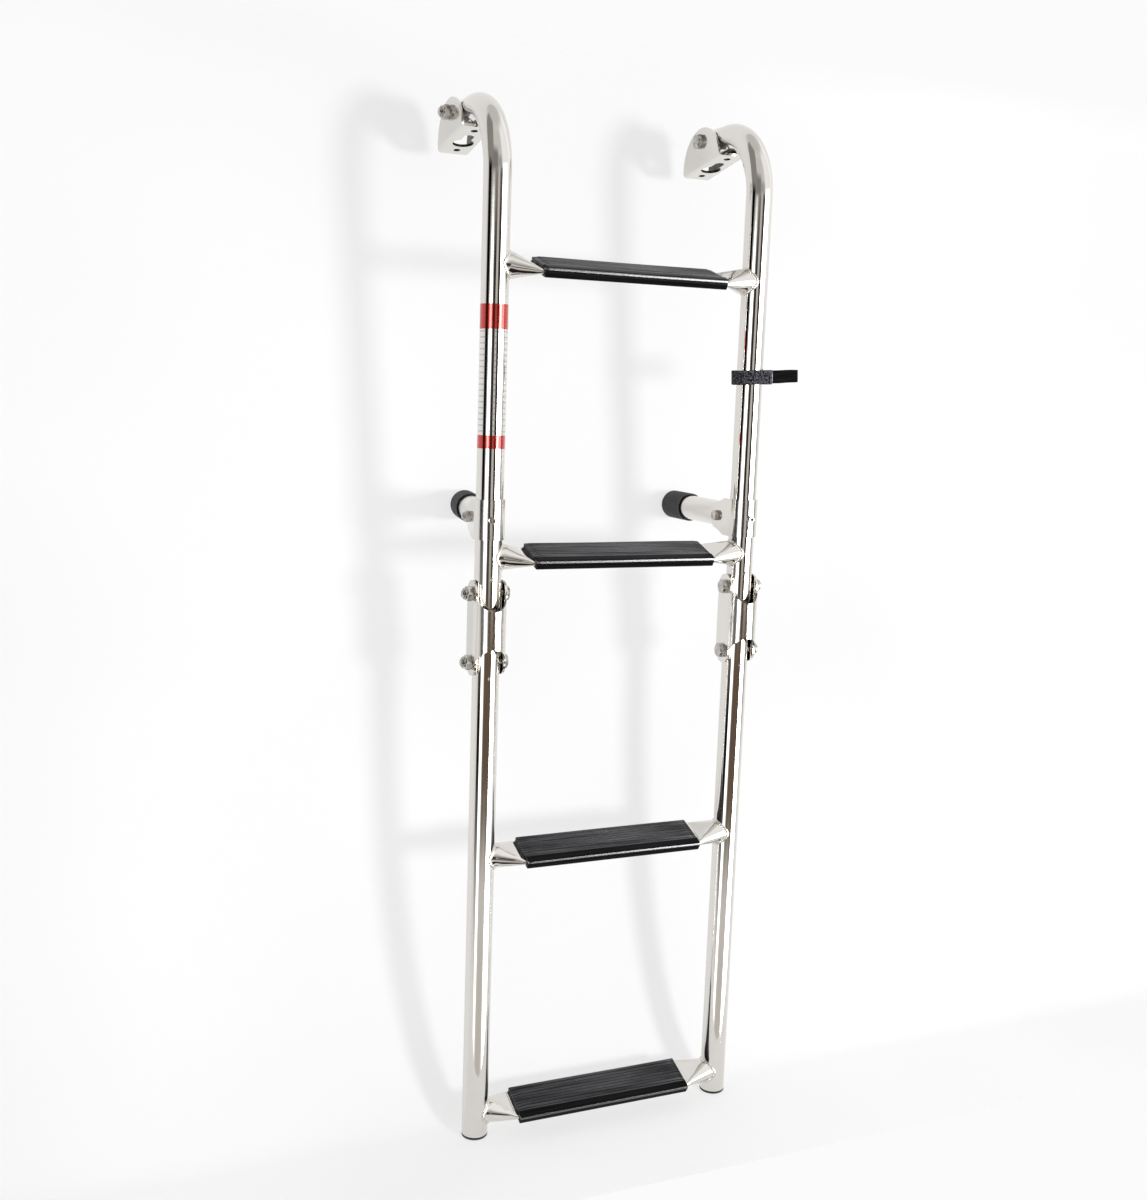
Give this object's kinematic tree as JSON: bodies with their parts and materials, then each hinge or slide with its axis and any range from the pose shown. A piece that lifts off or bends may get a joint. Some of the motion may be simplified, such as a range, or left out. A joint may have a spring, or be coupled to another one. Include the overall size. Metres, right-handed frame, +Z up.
{
  "type": "boat swim ladder",
  "caption": "Folding boat swim ladder of bent polished tube with ribbed black treads, deck brackets, double-pivot hinges and rubber-tipped standoffs.",
  "frame": {"origin": "centre of the left deck bracket's base face, midway between its two deck screw holes", "axes": "+X along the steps to the right rail, +Y inboard over the boat's deck, +Z up along the rails"},
  "size_m": [0.3441, 0.1744, 0.9929],
  "materials": {
    "polished_stainless": "polished",
    "sheet_stainless": "polished",
    "bolt_steel": "satin",
    "black_tread_plastic": "ribbed, satin",
    "black_plug_plastic": "matte",
    "black_rubber": "matte",
    "black_webbing": "woven",
    "label_film": "plain film with red bands"
  },
  "bodies": {
    "deck_brackets": {"left_deck_bracket": "sheet_stainless", "right_deck_bracket": "sheet_stainless", "left_bracket_bolt": "bolt_steel", "right_bracket_bolt": "bolt_steel"},
    "upper_frame": {"left_upper_rail": "polished_stainless", "right_upper_rail": "polished_stainless", "top_step_tube": "polished_stainless", "top_step_tread": "black_tread_plastic", "second_step_tube": "polished_stainless", "second_step_tread": "black_tread_plastic", "retaining_strap": "black_webbing", "left_rail_label": "label_film"},
    "hinge_links": {"left_hinge_link": "sheet_stainless", "right_hinge_link": "sheet_stainless", "left_upper_hinge_bolt": "bolt_steel", "left_lower_hinge_bolt": "bolt_steel", "right_upper_hinge_bolt": "bolt_steel", "right_lower_hinge_bolt": "bolt_steel"},
    "lower_frame": {"left_lower_rail": "polished_stainless", "right_lower_rail": "polished_stainless", "third_step_tube": "polished_stainless", "third_step_tread": "black_tread_plastic", "bottom_step_tube": "polished_stainless", "bottom_step_tread": "black_tread_plastic", "left_foot_plug": "black_plug_plastic", "right_foot_plug": "black_plug_plastic"},
    "left_standoff": {"left_standoff_clamp": "sheet_stainless", "left_standoff_arm": "polished_stainless", "left_standoff_cap": "black_rubber", "left_standoff_bolt": "bolt_steel", "left_standoff_screw": "bolt_steel"},
    "right_standoff": {"right_standoff_clamp": "sheet_stainless", "right_standoff_arm": "polished_stainless", "right_standoff_cap": "black_rubber", "right_standoff_bolt": "bolt_steel", "right_standoff_screw": "bolt_steel"}
  },
  "joints": [
    {"name": "ladder_swing", "type": "hinge", "parent": "deck_brackets", "child": "upper_frame", "pos_m": [0.1325, 0.00434, 0.02462], "axis": [-1, 0, 0], "range_deg": [0, 200]},
    {"name": "link_fold", "type": "hinge", "parent": "upper_frame", "child": "hinge_links", "pos_m": [0.1325, -0.09366, -0.41538], "axis": [-1, 0, 0], "range_deg": [0, 90]},
    {"name": "lower_fold", "type": "hinge", "parent": "hinge_links", "child": "lower_frame", "pos_m": [0.1325, -0.09366, -0.47988], "axis": [-1, 0, 0], "range_deg": [0, 90]},
    {"name": "left_standoff_swivel", "type": "hinge", "parent": "upper_frame", "child": "left_standoff", "pos_m": [0, -0.09366, -0.34688], "axis": [0, 0, 1], "range_deg": [-35.6, 54.4]},
    {"name": "right_standoff_swivel", "type": "hinge", "parent": "upper_frame", "child": "right_standoff", "pos_m": [0.265, -0.09366, -0.34688], "axis": [0, 0, 1], "range_deg": [-45, 45]}
  ]
}
